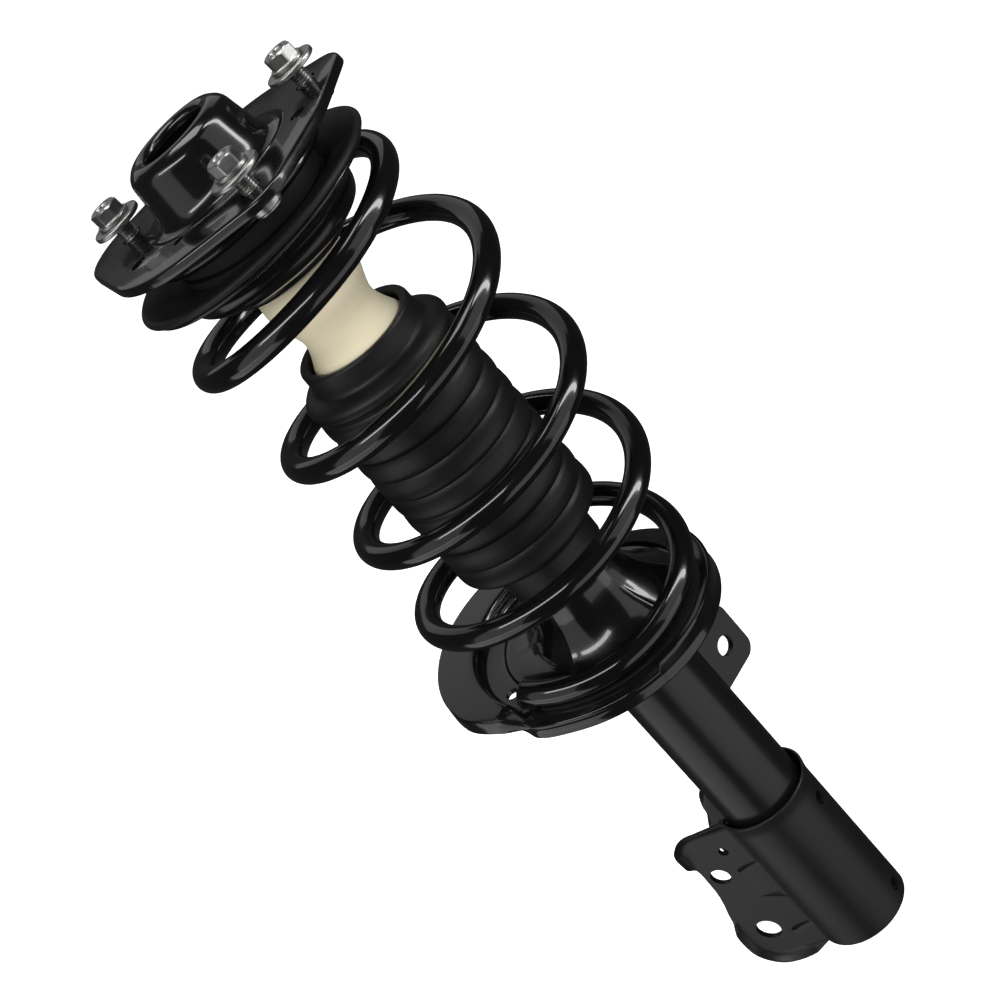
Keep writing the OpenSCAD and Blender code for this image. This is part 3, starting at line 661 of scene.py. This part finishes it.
spring_paint.feed(
    Base_Color=spring_paint.blend(sag, (0.0018, 0.0018, 0.0020), (0.0038, 0.0038, 0.0040)),
    Roughness=0.10 + 0.08 * sag,
    Normal=spring_paint.relief(fleck, 0.000002, spring_paint.relief(sag, 0.00003)))
spring_paint.lay(coil)
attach(coil, "spring_seat")
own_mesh(coil)
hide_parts("coil_spring")

# ---- Damper -------------------------------------------------------------------
# Drawn steel tube with a rolled-over top cap and a pressed-in base, painted satin
# black; inside it the chromed rod, the piston and its valves, all plain turned parts.
satin = Finish("satin_black", Coat_Weight=0.25, Coat_Roughness=0.2, Specular_IOR_Level=0.5)
mist = satin.noise(30, 4, 0.6)
satin.feed(
    Base_Color=satin.blend(mist, (0.0030, 0.0030, 0.0032), (0.0060, 0.0060, 0.0063)),
    Roughness=0.27 + 0.10 * mist,
    Normal=satin.relief(satin.noise(900, 2), 0.000010))
tube = turned("strut_tube", [(23.3, -592), (25.5, -592), (25.5, -250), (23.3, -250)], 0.4, 160)
cap = turned("top_cap_rolled", [
    (12, -250), (25.5, -250), (25.5, -259), (26.9, -259, 0.5), (26.9, -249.6, 1.8), (24.6, -247.5, 1.6),
    (15, -247.6, 1), (12, -247.5, 0.8)], 0.3, 128)
base = turned("base_cup_dished", [
    (0.001, -596), (18, -596, 2), (22, -595, 1.5), (23.2, -592, 0.8), (23.2, -580), (21.3, -580),
    (21.3, -590, 1.5), (20, -592.4, 1.5), (0.001, -592.4)], 0.3, 128)
satin.lay(tube, cap, base)
for piece, owner in ((tube, "outer_tube"), (cap, "bump_cap"), (base, "base_cup")):
    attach(piece, "strut")
    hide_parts(owner)
chrome = Finish("chromed_rod", Metallic=1.0)
chrome.feed(
    Base_Color=chrome.blend(chrome.noise(90, 3), (0.60, 0.61, 0.63), (0.68, 0.69, 0.71)),
    Roughness=0.05 + 0.05 * chrome.noise(600, 3))
chrome.lay(node["piston_rod"])
sintered = Finish("sintered_iron", Metallic=0.8)
grain = sintered.noise(1600, 4, 0.7)
sintered.feed(
    Base_Color=sintered.blend(grain, (0.16, 0.16, 0.16), (0.28, 0.28, 0.27)),
    Roughness=0.42 + 0.2 * grain,
    Normal=sintered.relief(grain, 0.00002))
sintered.lay(node["piston"], node["rod_guide"], node["base_valve"])
slide_band = Finish("slide_band", Specular_IOR_Level=0.4)
slide_band.feed(
    Base_Color=slide_band.blend(slide_band.noise(300, 3), (0.035, 0.032, 0.026), (0.055, 0.050, 0.040)),
    Roughness=0.4 + 0.15 * slide_band.noise(800, 3))
slide_band.lay(node["piston_band"])
shim_steel = Finish("spring_steel_shims", Metallic=1.0)
shim_steel.feed(
    Base_Color=shim_steel.blend(shim_steel.noise(200, 3), (0.36, 0.37, 0.39), (0.50, 0.51, 0.53)),
    Roughness=0.2 + 0.12 * shim_steel.noise(500, 3))
shim_steel.lay(node["valve_discs"], node["base_valve_disc"])
bronze = Finish("bronze_bush", Metallic=1.0)
bronze.feed(
    Base_Color=bronze.blend(bronze.noise(250, 3), (0.42, 0.27, 0.12), (0.55, 0.37, 0.18)),
    Roughness=0.28 + 0.15 * bronze.noise(700, 3))
bronze.lay(node["guide_bushing"])

# ---- Lower spring seat --------------------------------------------------------
# Deep-drawn dish on a hub cone pressed over the tube, painted gloss black: a flat
# flange towards the ears, a low front rim, and a taller lip that keeps the coil in.
phi = np.linspace(0, 2 * np.pi, 480, endpoint=False)
phi_deg = np.degrees(phi)
dish_x, dish_z = 8, -326


def degrees_from(at):
    """Turn from the direction at to each column of the dish, from -180 to 180 degrees."""
    return (phi_deg - at + 180) % 360 - 180


def sector(start, end, soft):
    """1 between two directions in degrees and 0 elsewhere, turning over smoothly across soft degrees."""
    off = np.abs(degrees_from((start + end) / 2))
    t = np.clip(((end - start) / 2 - off) / soft + 0.5, 0, 1)
    return t * t * (3 - 2 * t)


flange, lip = sector(-68, 66, 11), sector(136, 228, 2)
# the flange's edge is a circle set off towards the ears, with its front corner drawn in
flange_shift, flange_radius, corner_cut = 14, 81, 5
corner = np.clip((phi_deg - 44) / 20, 0, 1) * (phi_deg < 180)
edge = (flange_shift * np.cos(phi) + np.sqrt(flange_radius ** 2 - (flange_shift * np.sin(phi)) ** 2)
        - corner_cut * corner ** 2 * (3 - 2 * corner))
bulge = 2.6 * np.exp(-(degrees_from(72) / 12) ** 2)
# rows of the rim, floor to flange edge to skirt: radius and height where the edge is turned down,
# then on the flange, with how far in from the flange's edge a row stands where that sets its radius
rim_table = [
    (62, 0, 62, 0), (65.5, -0.1, 65.5, 0.1), (67.4, -0.6, 67.2, 0.6), (68.8, -1.3, 68.4, 2),
    (69.8, -1.9, 69, 5), (70.6, -2.3, 69.8, 7.4), (71.2, -2.6, 71, 8.3), (71.6, -2.8, 73, 8.5),
    (71.9, -3.1, 75.4, 8.1), (72.1, -3.5, -3, 8), (72.2, -4, -0.8, 7.6), (72.2, -4.4, -0.1, 6.6),
    (72.1, -4.8, 0, 2), (72.0, -5.2, 0, -2.4), (71.9, -5.5, -0.5, -3), (71.8, -5.8, -2.1, -3),
    (71.7, -6.1, -2.6, -2.4), (71.6, -6.4, -2.8, 4.4), (71.6, -6.7, 74.5, 5.3), (71.6, -7, 72.6, 4.4),
    (71.6, -7.6, 71.9, -3), (71.7, -8.6, 71.8, -8), (72.3, -10.8, 72.2, -11),
    (72.1, -11.9, 71.9, -11.9), (70.6, -12, 70.6, -12), (69.6, -11.4, 69.6, -11.4), (69.4, -7, 69.4, -7),
    (68.2, -4.4, 68.2, -4.4), (64, -3, 64, -3), (56, -3, 56, -3)]
rim_r, rim_z = [], []
for i, (low_r, low_z, high_r, high_z) in enumerate(rim_table):
    at_flange = edge + high_r if high_r <= 0 else high_r
    raised = 4.8 * lip * np.clip(1.25 - abs(i - 9) / 6, 0, 1)
    pushed = (bulge * np.clip((i - 4) / 4, 0, 1) + 0.5 * lip) * (i < 25) * (i > 4)
    rim_r.append(low_r + pushed * (1 - flange) + (at_flange - low_r) * flange)
    rim_z.append((low_z + raised) * (1 - flange) + high_z * flange)
floor_rows = [(49.5, 2.2), (51.5, 2.2), (53, 1.9), (54, 0.7), (55.2, 0.1), (58, 0)]
in_r = np.array([0 * phi + r for r, z in floor_rows] + rim_r)
in_z = np.array([0 * phi + z for r, z in floor_rows] + rim_z)
c, s = math.cos(seat_lean), math.sin(seat_lean)
dish_rows = np.stack([
    dish_x + in_r * np.cos(phi) * c - in_z * s, in_r * np.sin(phi),
    dish_z + in_r * np.cos(phi) * s + in_z * c], -1)
root_r = 44.6 - 3.0 * np.cos(phi)
root_z = dish_z + math.tan(seat_lean) * (root_r * np.cos(phi) - dish_x)
ribs = sum(np.exp(-(degrees_from(at) / 2.6) ** 2) for at in (20, 82, 160, 205, 250, 318))
# rows of the hub cone, up its bore and down its outside: radius, height and share of the ribs' height
hub_table = [
    (25.55, -311, 0), (25.55, -287, 0), (26.2, -286.1, 0), (27.4, -286, 0), (27.9, -286.7, 0),
    (28.6, -293, 0), (29.5, -299.5, 0.1), (31.2, -306, 0.4), (34.6, -313, 0.7), (39.2, -318.6, 0.8)]
hub_r = [r + 0.9 * k * ribs for r, z, k in hub_table]
hub_z = [z + 0.3 * k * ribs for r, z, k in hub_table]
# rows that run the cone's foot out to the dish: share of the way, extra radius, drop, share of the ribs
cone_foot_r, cone_foot_z, _ = hub_table[-1]
for k, wider, drop, rib in ((0.5, 0, 0, 0.9), (1, 0, 0, 0.6), (1, 2.2, 1.3, 0.3)):
    hub_r.append(cone_foot_r + (root_r - cone_foot_r) * k + wider + 0.9 * rib * ribs)
    hub_z.append(cone_foot_z + (root_z + 4.6 - cone_foot_z) * k - drop)
hub_rows = np.stack([np.array(hub_r) * np.cos(phi), np.array(hub_r) * np.sin(phi), np.array(hub_z)], -1)
low_r = np.array([0 * phi + 46.5, 0 * phi + 34.2, 0 * phi + 27.2, 0 * phi + 26.7])
low_z = np.array([root_z - 4.4, 0 * phi - 319.6, 0 * phi - 304, 0 * phi - 311.8])
low_rows = np.stack([low_r * np.cos(phi), low_r * np.sin(phi), low_z], -1)
seat = skin("lower_seat_dish", np.concatenate([hub_rows, dish_rows, low_rows]), True, True, 40)
drain_turn = np.array([[c, 0, -s], [0, 1, 0], [s, 0, c]])
drain_circle, drain_at = 60, np.radians([48, 125, 200, 290])
drilled(seat, [(drain_turn @ np.array([drain_circle * math.cos(d), drain_circle * math.sin(d), 0.0])
                + np.array([dish_x, 0, dish_z]), drain_turn @ np.array([0, 0, 1.0]), 4, 9)
               for d in drain_at])
ecoat.lay(seat)
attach(seat, "strut")
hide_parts("lower_spring_seat")

# ---- Stabiliser link tab ------------------------------------------------------
# Flat steel lug welded edge-on to the tube, with softened edges and rounded corners
# and one hole for the stabiliser link's stud.


def pressed(name, outline, centre, faces, place, curl=None, sharp=35):
    """Pressed plate: each edge point of the outline is reached from the centre in straight rays,
    centre + k (edge - centre), first over one face, round the softened edge and back over the other.
    Curl moves a point off the plate by a rule of its distance in from the edge, and place puts a
    point that is so far along, off and up the plate into the strut's own x, y and z."""
    ray = outline - centre
    reach = np.linalg.norm(ray, axis=1)
    near, far = faces
    insets = [None, 14, 9, 6.5, 4.8, 3.4, 2.2, 1.2, 0.35]
    edge_round = 0.35 * np.sign(far - near)
    rows = ([(inset, far) for inset in insets] + [(0, far - edge_round), (0, near + edge_round)]
            + [(inset, near) for inset in insets[::-1]])
    grid = []
    for inset, off in rows:
        k = np.zeros(len(reach)) if inset is None else np.clip(1 - inset / reach, 0.02, 1)
        flat = centre + ray * k[:, None]
        lift = curl(outline, 30.0 if inset is None else inset) if curl else 0
        grid.append(place(flat[:, 0], off + lift + 0 * reach, flat[:, 1]))
    return skin(name, np.stack(grid), False, True, sharp)


tab_turn = math.radians(-112)
tab_outline = soften([
    (25.6, -424, 0.5), (55, -424, 6), (60, -419, 5), (60, -388, 6), (54, -382, 6),
    (25.6, -382, 0.5)], steps=24)
c, s = math.cos(tab_turn), math.sin(tab_turn)
tab = pressed("link_tab", tab_outline, np.array([43.0, -404.0]), (2.0, -2.0),
              lambda x, y, z: np.stack([x * c - y * s, x * s + y * c, z], -1))
link_hole_out, link_hole_z, link_hole_r = 44.6, -405.5, 6
drilled(tab, [(np.array([link_hole_out * c, link_hole_out * s, link_hole_z]), (-s, c, 0.0),
               link_hole_r, 8)])
satin.lay(tab)
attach(tab, "strut")
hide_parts("stabiliser_tab")

# ---- Knuckle bracket ----------------------------------------------------------
# Clamshell of 3.2 mm steel wrapped round the tube and closed into two ears with
# turned-out edges; pads pressed out of it run from the wrap on to each ear.
bracket_coat = Finish("bracket_satin", Coat_Weight=0.12, Coat_Roughness=0.3, Specular_IOR_Level=0.5)
orange = bracket_coat.noise(620, 3, 0.6)
shade = bracket_coat.noise(22, 3)
bracket_coat.feed(
    Base_Color=bracket_coat.blend(shade, (0.0040, 0.0040, 0.0043), (0.0080, 0.0080, 0.0083)),
    Roughness=0.36 + 0.10 * shade,
    Normal=bracket_coat.relief(orange, 0.00002))
wrap_inside, wrap_outside = 25.6, 28.7
height = np.concatenate([np.linspace(-591.5, -494, 110), np.linspace(-493, -478.5, 24)])
share = np.interp(height, [-575.5, -572.5, -549, -541.5, -518, -515], [1, 0, 0, 1, 1, 0])
pad_x, pad_y = 21.5 + 14 * share, 19.0 + 1.7 * share
flare_out = np.interp(height, [-489, -486, -483, -480, -478.5], [0, 0.2, 0.7, 1.3, 1.5])
flare_in = np.interp(height, [-490, -486, -483, -480, -478.5], [0, 0.9, 1.9, 2.7, 2.9])
arc = np.radians(np.linspace(44, 316, 120))
round_wrap = np.stack([np.cos(arc), np.sin(arc)], -1)
wrap_rows = []
for px, py, f_out, f_in in zip(pad_x, pad_y, flare_out, flare_in):
    outer_r, inner_r = wrap_outside + f_out, wrap_inside + f_in
    reach_in = [(px + 3, 17.2), (px + 2.2, 17.9), (px + 0.8, py - 0.4), (px - 1, py)]
    mouth = np.array(reach_in + [(outer_r * math.cos(arc[0]) + 0.4, outer_r * math.sin(arc[0]))])
    outer = np.concatenate([mouth, outer_r * round_wrap, (mouth * [1, -1])[::-1]])
    back = np.array([(px + 3, 15.6), (px + 1.8, 15.5), (px + 0.6, 15.5), (px - 1, 15.5),
                     (inner_r * math.cos(arc[0]) + 0.6, inner_r * math.sin(arc[0]) - 0.2)])
    inner = np.concatenate([back, inner_r * round_wrap, (back * [1, -1])[::-1]])
    wrap_rows.append((outer, inner))


def ring_at(index, pinch, z):
    """Closed section of the wrap at one height; pinch draws both faces to the middle of the sheet."""
    outer, inner = wrap_rows[index]
    mid = (outer + inner) / 2
    ring = np.concatenate([outer + (mid - outer) * pinch, (inner + (mid - inner) * pinch)[::-1]])
    return np.concatenate([ring, np.full((len(ring), 1), z)], 1)


last = len(height) - 1
sections = [ring_at(0, 1, height[0]), ring_at(0, 0.45, height[0]), ring_at(0, 0.12, height[0] + 0.35)]
sections += [ring_at(i, 0, height[i]) for i in range(1, last)]
sections += [ring_at(last, 0.12, height[last] - 0.35), ring_at(last, 0.45, height[last]),
             ring_at(last, 1, height[last])]
wrap = skin("bracket_wrap", np.stack(sections), False, True, 40)
plug_weld_at = (-499, -580.5)
drilled(wrap, [(np.array([-26.0, 0, z]), (1, 0, 0), 4.2, 8) for z in plug_weld_at])

ear_outline = soften([
    (19, -480.5, 1), (53, -480.1, 9), (63.4, -489.5, 9), (62.8, -502, 6), (60.2, -512, 8), (61.4, -536, 12),
    (67.6, -556, 10), (69.9, -572, 9), (68.4, -587.5, 9), (56, -598.6, 9), (38, -598.4, 8),
    (19, -592, 1)], steps=20)


def ear_curl(outline, inset):
    """The edge turns outward along the top and round the bottom: 4.9 (1 - inset / 5.2)^1.7 mm at most."""
    x, z = outline[:, 0], outline[:, 1]
    top = np.clip((z + 510) / 7, 0, 1)
    bottom = np.clip((-558 - z) / 9, 0, 1)
    t = np.maximum(top, bottom) * np.clip((x - 22) / 8, 0, 1)
    return 4.9 * t * t * (3 - 2 * t) * max(0, 1 - inset / 5.2) ** 1.7


# upper and lower knuckle bolts, and the small locating hole: x, z and radius
ear_holes = [(50.5, -520.0, 6.3), (50.5, -571.5, 7.8), (36, -501.5, 3.2)]
ear_inside, ear_outside = 15.0, 18.2
ear_pieces = []
for side, name in ((1, "near"), (-1, "far")):
    outline = ear_outline.copy()
    if side < 0:
        # the far ear's top corner is cropped
        outline[:, 0] -= (9 * np.clip((outline[:, 1] + 514) / 18, 0, 1)
                          * np.clip((outline[:, 0] - 36) / 22, 0, 1))
    ear = pressed("ear_" + name, outline, np.array([43.0, -540.0]), (ear_inside, ear_outside),
                  lambda x, y, z: np.stack([x, side * y, z], -1), ear_curl, 40)
    drilled(ear, [(np.array([x, side * 17.0, z]), (0, 1, 0), hole_r, 12)
                  for x, z, hole_r in ear_holes])
    ear_pieces.append(ear)
bracket_coat.lay(wrap, *ear_pieces, node["bracket_inner_plate"])
for piece in (wrap, *ear_pieces):
    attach(piece, "strut")
    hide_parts("knuckle_bracket")

# ---- Update -------------------------------------------------------------------
# The scene is brought up to date at the end; the box round the CAD, in metres,
# was taken when the CAD was imported.
bpy.context.view_layer.update()
